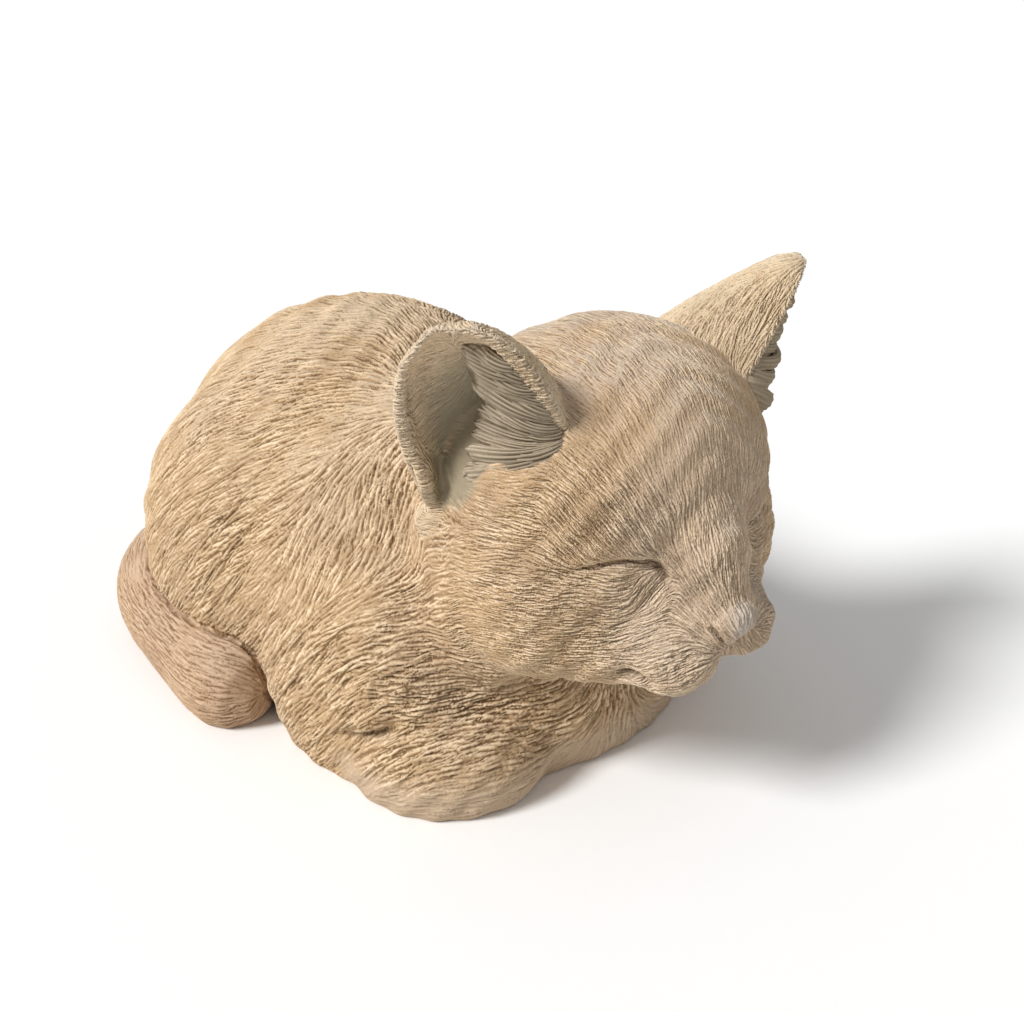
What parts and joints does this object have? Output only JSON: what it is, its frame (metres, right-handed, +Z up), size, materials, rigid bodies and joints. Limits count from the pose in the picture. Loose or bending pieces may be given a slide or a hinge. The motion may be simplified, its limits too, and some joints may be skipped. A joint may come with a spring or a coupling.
{
  "type": "cat garden statue",
  "caption": "Cast-stone garden ornament of a sleeping cat, curled with its paws tucked under and its tail round its haunch, standing on a flat base.",
  "frame": {"origin": "on the flat underside, on the cat's midplane, in the middle of the body", "axes": "+Z up, -Y towards the cat's nose, -X towards the cat's right side"},
  "size_m": [0.1829, 0.2518, 0.1523],
  "materials": {
    "stone_body": "matt cast stone, carved fur, brown wash in the grooves and cream on the ridges",
    "stone_head": "matt cast stone, fine carved fur, brown wash in the grooves",
    "stone_ear": "matt cast stone, pale rim and grey-olive hollow",
    "stone_tail": "matt cast stone, browner than the body",
    "stone_paw": "matt cast stone, carved fur",
    "mortar": "plain grey trowelled mortar",
    "plug": "matt rubber",
    "steel": "plain round bar"
  },
  "bodies": {
    "root": {"trunk_shell": "stone_body", "head": "stone_head", "ear_right": "stone_ear", "ear_left": "stone_ear", "tail": "stone_tail", "forepaw_right": "stone_paw", "forepaw_left": "stone_paw", "ballast_core": "mortar", "base_plate": "mortar", "filler_plug": "plug", "neck_dowel": "steel", "ear_peg_right": "steel", "ear_peg_left": "steel", "tail_peg_rear": "steel", "tail_peg_front": "steel", "forepaw_peg_right": "steel", "forepaw_peg_left": "steel"}
  },
  "joints": []
}
